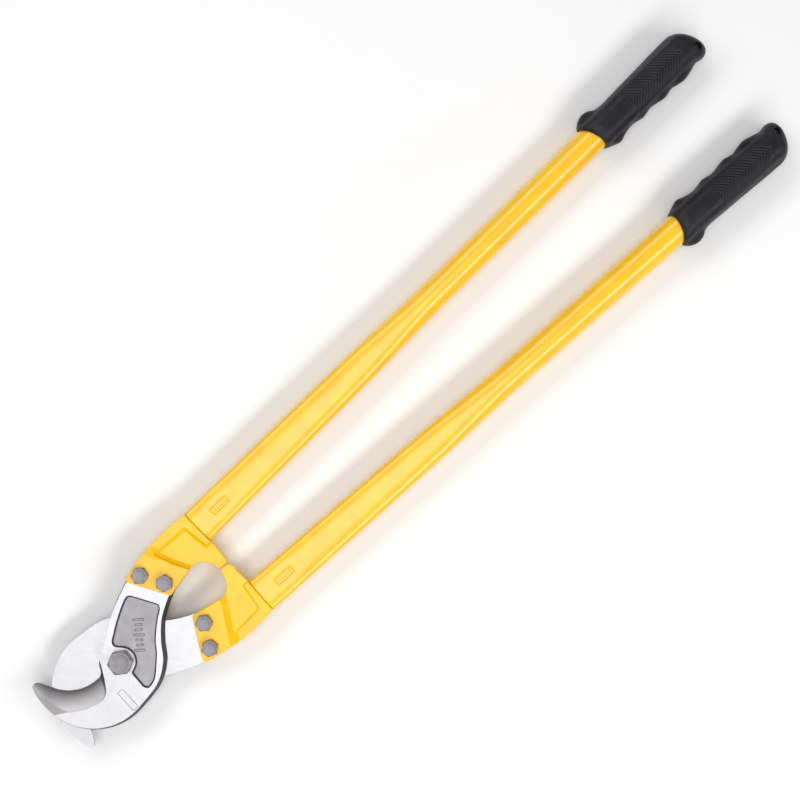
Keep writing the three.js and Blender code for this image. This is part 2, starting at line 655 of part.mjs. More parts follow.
const tool = new THREE.Group();
tool.position.z = MID_HEIGHT;
const lowerHalf = half("lower", -1);
lowerHalf.rotation.x = Math.PI;
tool.add(half("upper", 1), lowerHalf, pivot());
const root = new THREE.Group();
root.add(tool);

export default root;
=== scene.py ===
"""Long-arm cable cutter: its looks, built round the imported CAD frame.

Metres throughout. Each half is modelled in its own frame: z = 0 is the plane the blades slide on,
the pivot is at the origin, +X runs to the grip and +Y to the handle. HALVES places the two halves.
"""
import json
import math

import bmesh
import bpy
import numpy as np
from mathutils import Matrix, Vector, noise


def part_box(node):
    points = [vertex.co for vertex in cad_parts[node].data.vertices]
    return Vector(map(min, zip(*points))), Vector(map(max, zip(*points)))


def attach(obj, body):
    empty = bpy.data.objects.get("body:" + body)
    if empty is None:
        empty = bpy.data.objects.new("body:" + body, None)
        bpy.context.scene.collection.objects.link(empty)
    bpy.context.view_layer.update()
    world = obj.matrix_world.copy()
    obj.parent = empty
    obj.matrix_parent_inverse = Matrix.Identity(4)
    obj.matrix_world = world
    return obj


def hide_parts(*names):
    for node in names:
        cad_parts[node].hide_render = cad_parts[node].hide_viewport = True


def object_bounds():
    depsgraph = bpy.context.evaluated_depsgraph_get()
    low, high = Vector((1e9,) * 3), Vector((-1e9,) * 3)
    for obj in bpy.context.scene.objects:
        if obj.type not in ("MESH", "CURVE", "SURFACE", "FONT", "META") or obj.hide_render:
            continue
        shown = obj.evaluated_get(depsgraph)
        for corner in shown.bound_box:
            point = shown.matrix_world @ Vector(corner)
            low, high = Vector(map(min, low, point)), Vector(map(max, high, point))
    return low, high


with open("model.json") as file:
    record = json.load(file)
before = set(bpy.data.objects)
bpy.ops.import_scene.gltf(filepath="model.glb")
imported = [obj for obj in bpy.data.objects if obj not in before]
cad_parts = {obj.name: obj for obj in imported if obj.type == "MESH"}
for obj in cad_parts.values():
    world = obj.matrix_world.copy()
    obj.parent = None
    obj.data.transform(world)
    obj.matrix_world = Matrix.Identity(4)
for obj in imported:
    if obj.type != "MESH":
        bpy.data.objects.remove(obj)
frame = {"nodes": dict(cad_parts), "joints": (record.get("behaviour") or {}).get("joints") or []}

CAD_BOX = [list(corner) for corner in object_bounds()]
MM = 0.001
MID = frame["joints"][0]["pos_m"][2]
TURNED_OVER = Matrix.Rotation(math.pi, 4, "X")
HALVES = {
    "upper": Matrix.Translation((0, 0, MID)),
    "lower": Matrix.Translation((0, 0, MID)) @ TURNED_OVER,
}

# ---- sizes in millimetres, most of them the CAD model's own ----
BLADE_TOP = 8.0
POCKET_FLOOR = 6.4
EDGE_CENTRE = (-27.0, 40.0)
HANDLE_START = (125.2, 40.25)
HANDLE_TILT = math.radians(1.57)
TUBE_RADIUS = 12.7
TUBE_WALL = 2.0
TUBE_LENGTH = 585.0
FLAT_HALF_WIDTH = 16.3
FLAT_HALF_HEIGHT = 6.5
FLAT_POWER = 3.4
FLAT_FADES_BY = 435.0
FLAT_GIVES_WAY = (190.0, 290.0)
STAKE_AT = 27.0
STAKE_LENGTH = 18.7
STAKE_WIDTH = 7.0
STAKE_EDGE = 0.6
GAP = 0.3
GRIP_START = 475.0
GRIP_END = 600.4
GRIP_LEAN = 0.26
GRIP_BOW = 3.2
GRIP_CORE = 14.8
GRIP_HALF_HEIGHT = 16.3
COLLAR_HALF_HEIGHT = 17.5
LOBE_HALF_HEIGHT = 10.0
LOBE_SOFTNESS = 12
HANG_HOLE_AT = 593.4
HANG_HOLE_ACROSS = -7.0


# ---- meshes ----
def new_object(name, mesh, place):
    obj = bpy.data.objects.new(name, mesh)
    bpy.context.scene.collection.objects.link(obj)
    obj.matrix_world = place
    return obj


def skin(name, rings, loop=False):
    """A closed mesh through rings of equal point count, in millimetres: capped ends, or a loop."""
    rings = np.asarray(rings, float) * MM
    count, size, _ = rings.shape
    spans = count if loop else count - 1
    ring, point = np.meshgrid(np.arange(spans), np.arange(size), indexing="ij")
    here, there = ring * size, (ring + 1) % count * size
    beside = (point + 1) % size
    corners = [here + point, here + beside, there + beside, there + point]
    faces = np.stack(corners, -1).reshape(-1, 4).tolist()
    if not loop:
        faces.append(list(range(size))[::-1])
        faces.append([(count - 1) * size + p for p in range(size)])
    mesh = bpy.data.meshes.new(name)
    mesh.from_pydata(rings.reshape(-1, 3).tolist(), [], faces)
    bm = bmesh.new()
    bm.from_mesh(mesh)
    bmesh.ops.recalc_face_normals(bm, faces=bm.faces)
    bm.to_mesh(mesh)
    bm.free()
    mesh.shade_smooth()
    return mesh


def crease(mesh, degrees):
    """Smooth shading, broken at edges sharper than so many degrees."""
    mesh.shade_smooth()
    mesh.set_sharp_from_angle(angle=math.radians(degrees))


def apply_modifiers(obj):
    """Turns what an object's modifiers make into its own mesh."""
    graph = bpy.context.evaluated_depsgraph_get()
    mesh = bpy.data.meshes.new_from_object(obj.evaluated_get(graph))
    obj.modifiers.clear()
    obj.data = mesh


def cad_copy(node, side):
    """A bmesh of a CAD node in its half's own frame, with its split corners joined again."""
    bm = bmesh.new()
    bm.from_mesh(frame["nodes"][node].data)
    bm.transform(HALVES[side].inverted())
    bmesh.ops.remove_doubles(bm, verts=bm.verts, dist=0.004 * MM)
    bmesh.ops.dissolve_degenerate(bm, edges=bm.edges, dist=0.002 * MM)
    return bm


def smoothstep(x, low, high):
    """0 up to low, 1 from high on, and an even S-curve between."""
    t = np.clip((np.asarray(x, float) - low) / (high - low), 0, 1)
    return t * t * (3 - 2 * t)


# ---- materials ----
class Paint:
    """A procedural material: a Principled shader and the nodes that feed it, in object coordinates."""

    def __init__(self, name, **sockets):
        self.material = bpy.data.materials.new(name)
        self.material.use_nodes = True
        self.tree = self.material.node_tree
        self.shader = self.tree.nodes["Principled BSDF"]
        self.where = self.node("ShaderNodeTexCoord").outputs["Object"]
        self.height = None
        for socket, value in sockets.items():
            self.set(socket.replace("_", " "), value)

    def node(self, kind, **settings):
        made = self.tree.nodes.new(kind)
        for key, value in settings.items():
            setattr(made, key, value)
        return made

    def link(self, source, target):
        self.tree.links.new(source, target)

    def set(self, socket, value):
        """Sets one of the shader's inputs to a number, or links it to another node's output."""
        target = self.shader.inputs[socket]
        if isinstance(value, bpy.types.NodeSocket):
            self.link(value, target)
        else:
            target.default_value = value

    def stretched(self, scale, turn):
        """Object coordinates turned about Z, then scaled along each axis."""
        mapping = self.node("ShaderNodeMapping", vector_type="TEXTURE")
        mapping.inputs["Rotation"].default_value = (0, 0, turn)
        mapping.inputs["Scale"].default_value = scale
        self.link(self.where, mapping.inputs["Vector"])
        return mapping.outputs["Vector"]

    def noise(self, size, detail, roughness=0.55, stretch=None, turn=0.0):
        """Noise whose blotches are about size metres across; stretch lengthens them along an axis."""
        made = self.node("ShaderNodeTexNoise")
        where = self.stretched(stretch, turn) if stretch else self.where
        self.link(where, made.inputs["Vector"])
        made.inputs["Scale"].default_value = 1 / size
        made.inputs["Detail"].default_value = detail
        made.inputs["Roughness"].default_value = roughness
        return made.outputs["Fac"]

    def from_axis(self, centre, inner, outer):
        """0 to 1 as the distance from an upright axis grows from inner to outer, all in millimetres."""
        flat = self.node("ShaderNodeVectorMath", operation="MULTIPLY")
        flat.inputs[1].default_value = (1, 1, 0)
        self.link(self.where, flat.inputs[0])
        apart = self.node("ShaderNodeVectorMath", operation="DISTANCE")
        apart.inputs[1].default_value = (centre[0] * MM, centre[1] * MM, 0)
        self.link(flat.outputs[0], apart.inputs[0])
        share = self.node("ShaderNodeMapRange")
        share.inputs["From Min"].default_value = inner * MM
        share.inputs["From Max"].default_value = outer * MM
        self.link(apart.outputs["Value"], share.inputs["Value"])
        return share.outputs["Result"]

    def ramp(self, factor, *stops):
        """A colour, or a grey given as one number, that changes evenly between stops of a factor."""
        made = self.node("ShaderNodeValToRGB")
        elements = made.color_ramp.elements
        while len(elements) < len(stops):
            elements.new(0.5)
        for element, (position, colour) in zip(elements, stops):
            element.position = position
            grey = (colour, colour, colour) if isinstance(colour, float) else colour
            element.color = (*grey, 1)
        self.link(factor, made.inputs["Fac"])
        return made.outputs["Color"]

    def multiplied(self, first, second):
        """The product of two colours."""
        made = self.node("ShaderNodeMix", data_type="RGBA", blend_type="MULTIPLY")
        sockets = {socket.name: socket for socket in made.inputs if socket.enabled}
        sockets["Factor"].default_value = 1.0
        self.link(first, sockets["A"])
        self.link(second, sockets["B"])
        return next(socket for socket in made.outputs if socket.enabled)

    def bump(self, height, depth, strength):
        """Adds a bump of depth metres to those already on the surface."""
        made = self.node("ShaderNodeBump")
        made.inputs["Strength"].default_value = strength
        made.inputs["Distance"].default_value = depth
        self.link(height, made.inputs["Height"])
        if self.height is not None:
            self.link(self.height, made.inputs["Normal"])
        self.height = made.outputs["Normal"]
        self.link(self.height, self.shader.inputs["Normal"])
        return self


def satin_steel():
    """Flat ground faces: fine straight lines, faint clouds and a few stray scratches."""
    paint = Paint("blade_satin", Metallic=0.85, IOR=1.6)
    lines = paint.noise(0.9 * MM, 4, 0.7, (1, 14, 1), math.radians(-38))
    clouds = paint.noise(26 * MM, 3)
    scratches = paint.noise(0.35 * MM, 2, 0.6, (1, 60, 1), math.radians(24))
    dark, pale = (0.6, 0.6, 0.62), (0.66, 0.66, 0.685)
    base = paint.ramp(clouds, (0.3, dark), (0.7, pale))
    fine = paint.ramp(lines, (0.35, 0.92), (0.65, 1.0))
    paint.set("Base Color", paint.multiplied(base, fine))
    paint.set("Roughness", paint.ramp(lines, (0.3, 0.36), (0.7, 0.5)))
    paint.bump(lines, 0.01 * MM, 0.35).bump(scratches, 0.008 * MM, 0.2)
    return paint.material


GRIND_SHADE_FADE = (38.0, 52.0)


def ground_steel_and_shade():
    """The bevel behind the cutting edge: coarser grinding lines, with painted shade, dark at the edge
    and paler behind.
    """
    paint = Paint("blade_ground_and_shade", Metallic=0.8, IOR=1.6)
    lines = paint.noise(0.55 * MM, 4, 0.65, (12, 1, 1), math.radians(20))
    # Painted shade: the colour darkens towards the cutting edge, standing in for how the hollow grind's
    # slope takes the light.
    behind = paint.from_axis(EDGE_CENTRE, *GRIND_SHADE_FADE)
    dark, middling, pale = (0.1, 0.096, 0.1), (0.28, 0.27, 0.275), (0.58, 0.565, 0.57)
    base = paint.ramp(behind, (0.0, dark), (0.35, middling), (1.0, pale))
    fine = paint.ramp(lines, (0.3, 0.8), (0.7, 1.0))
    paint.set("Base Color", paint.multiplied(base, fine))
    paint.set("Roughness", paint.ramp(lines, (0.3, 0.38), (0.7, 0.55)))
    paint.bump(lines, 0.02 * MM, 0.5)
    return paint.material


def tip_steel():
    """The flat ground across the very end of the jaw, its lines running the other way."""
    paint = Paint("blade_tip", Metallic=0.8, IOR=1.6)
    lines = paint.noise(0.5 * MM, 4, 0.65, (14, 1, 1), math.radians(65))
    clouds = paint.noise(12 * MM, 3)
    dark, pale = (0.36, 0.35, 0.355), (0.46, 0.45, 0.455)
    base = paint.ramp(clouds, (0.3, dark), (0.7, pale))
    fine = paint.ramp(lines, (0.3, 0.75), (0.7, 1.0))
    paint.set("Base Color", paint.multiplied(base, fine))
    paint.set("Roughness", paint.ramp(lines, (0.3, 0.38), (0.7, 0.55)))
    paint.bump(lines, 0.02 * MM, 0.5)
    return paint.material


def forged_steel_and_shade():
    """Dark scale left by forging and hardening on the flanks, and the same dark as painted shade on the
    pocket's walls and groove, the broken edges and the feet under the bars.
    """
    paint = Paint("blade_forged_and_shade", Metallic=0.35, IOR=1.5)
    grain = paint.noise(0.8 * MM, 5, 0.65)
    clouds = paint.noise(7 * MM, 4)
    dark, pale = (0.035, 0.034, 0.037), (0.085, 0.083, 0.09)
    paint.set("Base Color", paint.ramp(clouds, (0.3, dark), (0.75, pale)))
    paint.set("Roughness", paint.ramp(grain, (0.3, 0.5), (0.7, 0.72)))
    paint.bump(grain, 0.05 * MM, 0.6)
    return paint.material


def pocket_steel():
    """The blasted grey floor of the pocket."""
    paint = Paint("blade_pocket", Metallic=0.3, IOR=1.5)
    grain = paint.noise(0.45 * MM, 4, 0.7)
    clouds = paint.noise(9 * MM, 3)
    dark, pale = (0.36, 0.352, 0.375), (0.45, 0.44, 0.465)
    paint.set("Base Color", paint.ramp(clouds, (0.3, dark), (0.7, pale)))
    paint.set("Roughness", paint.ramp(grain, (0.3, 0.52), (0.7, 0.7)))
    paint.bump(grain, 0.03 * MM, 0.6)
    return paint.material


DEEP_YELLOW = (0.94, 0.52, 0.0)
PALE_YELLOW = (0.98, 0.59, 0.0)


def enamel(name, coat, orange_peel, grain):
    """Yellow enamel under a clear coat; orange_peel and grain are depths in millimetres."""
    paint = Paint(name, IOR=1.5, Coat_Weight=coat, Coat_Roughness=0.2)
    clouds = paint.noise(18 * MM, 2)
    peel = paint.noise(4 * MM, 3, 0.5)
    paint.set("Base Color", paint.ramp(clouds, (0.3, DEEP_YELLOW), (0.7, PALE_YELLOW)))
    paint.set("Roughness", paint.ramp(peel, (0.3, 0.26), (0.7, 0.36)))
    paint.bump(peel, orange_peel * MM, 0.5)
    if grain:
        paint.bump(paint.noise(0.7 * MM, 4, 0.6), grain * MM, 0.5)
    return paint.material


def grip_rubber():
    """Near-black moulded rubber: a fine grain, and clouds that are a little shinier than the rest."""
    paint = Paint("grip_rubber", Specular_IOR_Level=0.22)
    skin_grain = paint.noise(0.3 * MM, 3, 0.6)
    clouds = paint.noise(16 * MM, 4)
    dark, pale = (0.013, 0.0125, 0.015), (0.021, 0.02, 0.0235)
    paint.set("Base Color", paint.ramp(clouds, (0.3, dark), (0.7, pale)))
    paint.set("Roughness", paint.ramp(clouds, (0.3, 0.36), (0.7, 0.48)))
    paint.bump(skin_grain, 0.02 * MM, 0.5)
    return paint.material


def zinc_steel():
    """Dull plated fasteners, a little darker in blotches."""
    paint = Paint("fastener_zinc", Metallic=0.75, IOR=1.6)
    clouds = paint.noise(4 * MM, 4, 0.6)
    grain = paint.noise(0.4 * MM, 3, 0.6)
    dark, pale = (0.2, 0.19, 0.205), (0.29, 0.28, 0.295)
    paint.set("Base Color", paint.ramp(clouds, (0.25, dark), (0.75, pale)))
    paint.set("Roughness", paint.ramp(grain, (0.3, 0.36), (0.7, 0.52)))
    paint.bump(grain, 0.012 * MM, 0.5)
    return paint.material


def nylon():
    """The blue locking ring."""
    paint = Paint("nut_nylon", IOR=1.5, Subsurface_Weight=0.1)
    clouds = paint.noise(2 * MM, 3)
    dark, pale = (0.06, 0.15, 0.4), (0.09, 0.19, 0.46)
    paint.set("Base Color", paint.ramp(clouds, (0.3, dark), (0.7, pale)))
    paint.set("Roughness", paint.ramp(clouds, (0.3, 0.4), (0.7, 0.55)))
    return paint.material


SATIN, GROUND_AND_SHADE, FORGED_SCALE_AND_SHADE, POCKET = satin_steel(), ground_steel_and_shade(), forged_steel_and_shade(), pocket_steel()
TIP = tip_steel()
TUBE_ENAMEL = enamel("tube_enamel", coat=0.8, orange_peel=0.006, grain=0)
CAST_ENAMEL = enamel("cast_enamel", coat=0.1, orange_peel=0.05, grain=0.035)
RUBBER, ZINC, NYLON = grip_rubber(), zinc_steel(), nylon()


def finish_piece(obj, side, *nodes, slot, materials=()):
    """Gives a piece its materials and its place in the assembly."""
    for material in materials:
        obj.data.materials.append(material)
    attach(obj, f"{side}_half")
    if nodes:
        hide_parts(*nodes)


# ---- blades ----
TIP_START = (-46.5, -10.6)
TIP_WAY = (0.5233, 0.8521)
TIP_PROFILE = ((-0.4, 7, 14, 22, 32, 46), (8.1, 5.7, 4.2, 3.2, 2.6, 2.5))
TIP_SQUARE_ON = 0.9997
TIP_NEARLY_LEVEL = 0.03
GROOVE_WIDTH = 0.75
GROOVE_DEPTH = 0.2
BROKEN_EDGE = 0.4
# The flank finish is the flanks' real dark scale; on the pocket's walls, its groove and the broken
# edges the same dark is painted shade.
ON_FACE, ON_GRIND, ON_FLANK_AND_SHADE, ON_POCKET, ON_TIP = range(5)
BLADE_FINISHES = (SATIN, GROUND_AND_SHADE, FORGED_SCALE_AND_SHADE, POCKET, TIP)


def on_tip(face):
    """Whether a face belongs to the hollow that is ground straight across the end of the jaw."""
    place = face.calc_center_median() / MM
    along = (place.x - TIP_START[0]) * TIP_WAY[0] + (place.y - TIP_START[1]) * TIP_WAY[1]
    facing = face.normal.xy.normalized().dot(Vector(TIP_WAY))
    square_on = facing > (TIP_SQUARE_ON if face.normal.xy.length > TIP_NEARLY_LEVEL else 0.98)
    above = place.z - np.interp(along, *TIP_PROFILE)
    return square_on and along > TIP_PROFILE[0][0] and abs(above) < 0.5


def blade_zone(face):
    """Which finish a blade's face has: an index into BLADE_FINISHES."""
    z = face.calc_center_median().z / MM
    faces_up = face.normal.z > 0.45
    on_top = z > BLADE_TOP - 0.05
    if faces_up and not on_top and on_tip(face):
        return ON_TIP
    if abs(face.normal.z) > 0.995 and (on_top or z < 1):
        return ON_FACE
    if abs(face.normal.z) > 0.999 and abs(z - POCKET_FLOOR) < 0.05:
        return ON_POCKET
    # Side faces take the dark flank finish: real scale on the flanks, painted shade on the pocket's
    # walls.
    return ON_GRIND if faces_up else ON_FLANK_AND_SHADE


def zone_borders(bm):
    """The edges where two finishes meet at an angle."""
    return [
        edge
        for edge in bm.edges
        if len(edge.link_faces) == 2
        and edge.link_faces[0].material_index != edge.link_faces[1].material_index
        and edge.calc_face_angle() > math.radians(28)
    ]


def blade(side):
    """The CAD blade, its faces sorted by finish, with a groove round the pocket and broken edges; the
    groove and the broken edges take the dark flank finish as painted shade.
    """
    node = f"{side}_blade"
    bm = cad_copy(node, side)
    bmesh.ops.dissolve_limit(bm, angle_limit=math.radians(0.6), verts=bm.verts, edges=bm.edges)
    bm.normal_update()
    for face in bm.faces:
        face.material_index = blade_zone(face)
        face.smooth = True
    pocket = [face for face in bm.faces if face.material_index == ON_POCKET]
    groove = bmesh.ops.inset_region(
        bm, faces=pocket, thickness=GROOVE_WIDTH * MM, depth=-GROOVE_DEPTH * MM
    )
    # The groove's dark finish is painted shade in the corner round the pocket's floor.
    for face in groove["faces"]:
        face.material_index = ON_FLANK_AND_SHADE
    # The broken edges take the dark flank finish as well: partly the flanks' scale, partly a painted
    # shade line along every edge.
    bmesh.ops.bevel(
        bm,
        geom=zone_borders(bm),
        offset=BROKEN_EDGE * MM,
        offset_type="OFFSET",
        segments=3,
        profile=0.5,
        affect="EDGES",
        clamp_overlap=True,
        material=ON_FLANK_AND_SHADE,
        loop_slide=True,
    )
    bm.normal_update()
    mesh = bpy.data.meshes.new(node)
    bm.to_mesh(mesh)
    bm.free()
    mesh.set_sharp_from_angle(angle=math.radians(13))
    obj = new_object(f"{node}_steel", mesh, HALVES[side])
    weighted = obj.modifiers.new("weighted", "WEIGHTED_NORMAL")
    weighted.keep_sharp = True
    finish_piece(obj, side, node, slot="blade_steel", materials=BLADE_FINISHES)


# ---- fork heads ----
CAST_VOXEL = 0.45
CAST_SMOOTHING = 5
ROLL_LENGTH = 2.6
ROLL_HEIGHT = 0.07
ROLL_SINKS = 0.03


def uneven(mesh):
    """Rolls a cast surface gently in and out."""
    places = np.empty(3 * len(mesh.vertices))
    normals = np.empty(3 * len(mesh.vertices))
    mesh.vertices.foreach_get("co", places)
    mesh.vertex_normals.foreach_get("vector", normals)
    places, normals = places.reshape(-1, 3), normals.reshape(-1, 3)
    rolls = [noise.fractal(Vector(place) / (ROLL_LENGTH * MM), 1.0, 2.0, 2) for place in places]
    places += normals * (ROLL_HEIGHT * MM * np.array(rolls) - ROLL_SINKS * MM)[:, None]
    mesh.vertices.foreach_set("co", places.ravel())


def fork_head(side):
    """The forging: the CAD solid with its edges rounded off and a slightly uneven cast skin."""
    node = f"{side}_fork_head"
    mesh = bpy.data.meshes.new(node)
    bm = cad_copy(node, side)
    bm.to_mesh(mesh)
    bm.free()
    obj = new_object(f"{node}_casting", mesh, HALVES[side])
    remesh = obj.modifiers.new("remesh", "REMESH")
    remesh.mode = "VOXEL"
    remesh.voxel_size = CAST_VOXEL * MM
    remesh.use_smooth_shade = True
    smooth = obj.modifiers.new("smooth", "SMOOTH")
    smooth.factor = 0.5
    smooth.iterations = CAST_SMOOTHING
    apply_modifiers(obj)
    uneven(obj.data)
    finish_piece(obj, side, node, slot="yellow_paint", materials=(CAST_ENAMEL,))


# ---- handle tubes ----
HANDLE_FOOT = Matrix.Translation((HANDLE_START[0] * MM, HANDLE_START[1] * MM, 0))
HANDLE = HANDLE_FOOT @ Matrix.Rotation(HANDLE_TILT, 4, "Z")
TUBE_POINTS = 192


def oval(count, half_width, half_height, power):
    """Points (across, up) evenly spaced round a superellipse, the first on the +across side."""
    angle = np.linspace(0, 2 * np.pi, 4001)
    c, s = np.cos(angle), np.sin(angle)
    across = half_width * np.sign(c) * np.abs(c) ** (2 / power)
    up = half_height * np.sign(s) * np.abs(s) ** (2 / power)
    along = np.concatenate([[0], np.cumsum(np.hypot(np.diff(across), np.diff(up)))])
    even = along[-1] * np.arange(count) / count
    return np.interp(even, along, across), np.interp(even, along, up)


def tube_ring(x, inset):
    """The tube's section: pressed flat at the head, easing off along it, then round."""
    flat = max(0.0, 1 - x / FLAT_FADES_BY) * (1 - float(smoothstep(x, *FLAT_GIVES_WAY)))
    half_width = TUBE_RADIUS + (FLAT_HALF_WIDTH - TUBE_RADIUS) * flat - inset
    half_height = TUBE_RADIUS + (FLAT_HALF_HEIGHT - TUBE_RADIUS) * flat - inset
    across, up = oval(TUBE_POINTS, half_width, half_height, 2 + (FLAT_POWER - 2) * flat)
    return np.stack([np.full(TUBE_POINTS, x), across, up], -1)


def stake_depth(x, across):
    """The dent that locks the tube to the tang: a shallow dish with a punched, ribbed oblong in it."""
    along = x - STAKE_AT
    dish = 0.6 * np.exp(-((along / 14) ** 2) - (across / 7) ** 2)
    within_length = smoothstep(-np.abs(along), -STAKE_LENGTH / 2, -STAKE_LENGTH / 2 + STAKE_EDGE)
    within_width = smoothstep(-np.abs(across), -STAKE_WIDTH / 2, -STAKE_WIDTH / 2 + STAKE_EDGE)
    ribs = 0.6 + 0.35 * np.cos(across / STAKE_WIDTH * 4 * np.pi)
    return dish + within_length * within_width * ribs


def handle_tube(side):
    """The painted tube with its bore, a rounded end at the head and a stake mark on each flat."""
    node = f"{side}_handle_tube"
    stations = np.concatenate([
        [GAP, GAP + 0.15, GAP + 0.5, 1.6, 4, 7, 10],
        np.arange(12, 43, 0.4),
        np.arange(45, 300, 5),
        [340, 420, 480, 540, TUBE_LENGTH - 0.4, TUBE_LENGTH],
    ])
    outer = []
    for x in stations:
        rounding = 0.35 * max(0.0, 1 - (x - GAP) / 0.5) ** 2
        ring = tube_ring(x, rounding)
        flat_side = smoothstep(np.abs(ring[:, 2]), 2.5, 5.5)
        ring[:, 2] -= np.sign(ring[:, 2]) * stake_depth(x, ring[:, 1]) * flat_side
        outer.append(ring)
    inner = [tube_ring(x, TUBE_WALL) for x in (TUBE_LENGTH, 290, 240, 190, 70, GAP)]
    mesh = skin(node, outer + inner, loop=True)
    mesh.transform(HANDLE)
    crease(mesh, 50)
    obj = new_object(f"{node}_painted", mesh, HALVES[side])
    finish_piece(obj, side, node, slot="yellow_paint", materials=(TUBE_ENAMEL,))


# ---- grips ----
def curve(points, steps=12):
    """A centripetal Catmull-Rom curve through points, as dense (x, y) columns."""
    points = [np.array(p, float) for p in points]
    first = 2 * points[0] - points[1]
    last = 2 * points[-1] - points[-2]
    points = [first, *points, last]
    made = []
    for a, b, c, d in zip(points, points[1:], points[2:], points[3:]):
        t1 = np.linalg.norm(b - a) ** 0.5
        t2 = t1 + np.linalg.norm(c - b) ** 0.5
        t3 = t2 + np.linalg.norm(d - c) ** 0.5
        for t in np.linspace(t1, t2, steps, endpoint=False):
            p = (t1 - t) / t1 * a + t / t1 * b
            q = (t2 - t) / (t2 - t1) * b + (t - t1) / (t2 - t1) * c
            r = (t3 - t) / (t3 - t2) * c + (t - t2) / (t3 - t2) * d
            u = (t2 - t) / t2 * p + t / t2 * q
            v = (t3 - t) / (t3 - t1) * q + (t - t1) / (t3 - t1) * r
            made.append((t2 - t) / (t2 - t1) * u + (t - t1) / (t2 - t1) * v)
    made.append(points[-2])
    return np.array(made).T


GRIP_BACK = curve([
    (GRIP_START, 13.6), (480, 18.6), (485.5, 21), (490, 20.2), (496, 15.6), (520, 15.5), (575, 17.1),
    (583, 16.6), (589, 13.6), (594, 8.6), (597.6, 2), (599.8, -5), (GRIP_END, -8.5),
])
GRIP_FINGERS = curve([
    (GRIP_START, 13.6), (479, 15.5), (486, 18.6), (492, 19.2), (499, 17), (507.5, 15), (513, 16),
    (520, 17.8), (525, 17), (530.5, 15.8), (537, 17.2), (545, 18.9), (550, 18), (555, 17),
    (561, 18.6), (569, 19.7), (577, 18), (585.5, 15.6), (592.5, 16.6), (597.5, 14.6), (GRIP_END, 8.6),
])
GRIP_HEIGHT = curve([
    (GRIP_START, 14.6), (478, 16.4), (483, COLLAR_HALF_HEIGHT), (488, 17.4), (500, 16.7),
    (515, GRIP_HALF_HEIGHT), (580, GRIP_HALF_HEIGHT), (590, 14.6), (596.5, 10.2), (GRIP_END, 4.8),
])
CHEVRON_PITCH = 3.35
CHEVRON_DEPTH = 0.7
CHEVRON_FROM = 518.5
CHEVRON_TO = 580.0
CHEVRON_HALF_WIDTH = 11.0
GRIP_POINTS = 240
GRIP_ANGLES = 2 * np.pi * np.arange(GRIP_POINTS) / GRIP_POINTS
GRIP_SHARE = 0.9995
GRIP_TIP = 2.2


def oval_radius(c, s, half_width, half_height, power):
    """How far a superellipse reaches in the direction with cosine c and sine s."""
    return (np.abs(c / half_width) ** power + np.abs(s / half_height) ** power) ** (-1 / power)


def grip_ring(x, share=GRIP_SHARE):
    """The grip's section: a straight core with a lower lobe on each side for the ears and fingers."""
    back = np.interp(x, *GRIP_BACK)
    fingers = np.interp(x, *GRIP_FINGERS)
    half_height = min(np.interp(x, *GRIP_HEIGHT), COLLAR_HALF_HEIGHT)
    middle = (back - fingers) / 2 * float(smoothstep(x, 574, 590))
    lobe_height = min(LOBE_HALF_HEIGHT, 0.8 * half_height)
    c, s = np.cos(GRIP_ANGLES), np.sin(GRIP_ANGLES)
    reach = np.maximum(1.5, np.where(c > 0, back - middle, fingers + middle))
    core = oval_radius(c, s, np.minimum(GRIP_CORE, 0.985 * reach), half_height, 2.6)
    lobe = oval_radius(c, s, 0.99 * reach, lobe_height, 2.2)
    radius = (core ** LOBE_SOFTNESS + lobe ** LOBE_SOFTNESS) ** (1 / LOBE_SOFTNESS) * share
    across, up = middle + radius * c, radius * s
    fade = 1 - float(smoothstep(x, GRIP_START, GRIP_START + 24))
    along = x + fade * (GRIP_BOW * (up / COLLAR_HALF_HEIGHT) ** 2 - GRIP_LEAN * across)
    return np.stack([along, across, up], -1)


def chevrons(ring):
    """Presses the V-shaped grooves into the grip's top and underside; the Vs point to its free end."""
    x, across, up = ring.T
    reach = x + np.abs(across)
    groove = 1 - smoothstep(np.abs(2 * (reach / CHEVRON_PITCH % 1) - 1), 0.2, 0.75)
    begun = smoothstep(x, CHEVRON_FROM, CHEVRON_FROM + 1)
    ended = smoothstep(reach, CHEVRON_TO - 1, CHEVRON_TO)
    beside = smoothstep(np.abs(across), CHEVRON_HALF_WIDTH - 0.8, CHEVRON_HALF_WIDTH)
    on_face = smoothstep(np.abs(up), 8, 11)
    depth = CHEVRON_DEPTH * groove * begun * (1 - ended) * (1 - beside) * on_face
    ring[:, 2] -= np.sign(up) * depth
    return ring


def hole_cutter(radius, flare, straight, reach, points=64):
    """A spool for the hang hole: straight in the middle and flared where it meets the surface."""
    profile = [(radius + flare * 3, -reach), (radius + flare, -straight - 2), (radius, -straight)]
    profile += [(r, -z) for r, z in reversed(profile)]
    angle = 2 * np.pi * np.arange(points) / points
    c, s = np.cos(angle), np.sin(angle)
    rings = [np.stack([r * c, r * s, np.full(points, z)], -1) for r, z in profile]
    return skin("hole_cutter", rings)


def bore_ring(along):
    """A ring round the tube, where the grip's bore is."""
    bore = TUBE_RADIUS + GAP
    across, up = bore * np.cos(GRIP_ANGLES), bore * np.sin(GRIP_ANGLES)
    return np.stack([np.broadcast_to(along, GRIP_POINTS), across, up], -1)


def grip_mouth():
    """Rings from the end of the bore out to the collar's rim, which is rounded on its inside."""
    mouth = grip_ring(GRIP_START)
    rings = [bore_ring(x) for x in (TUBE_LENGTH + GAP, 530.0, 490.0)]
    rings.append(bore_ring(mouth[:, 0] + 1.0))
    for step, lift in ((0.25, 0.06), (0.0, 0.3), (-0.02, 0.6)):
        lip = bore_ring(mouth[:, 0] + step)
        lip[:, 1:] += (mouth[:, 1:] - lip[:, 1:]) * lift
        rings.append(lip)
    return rings


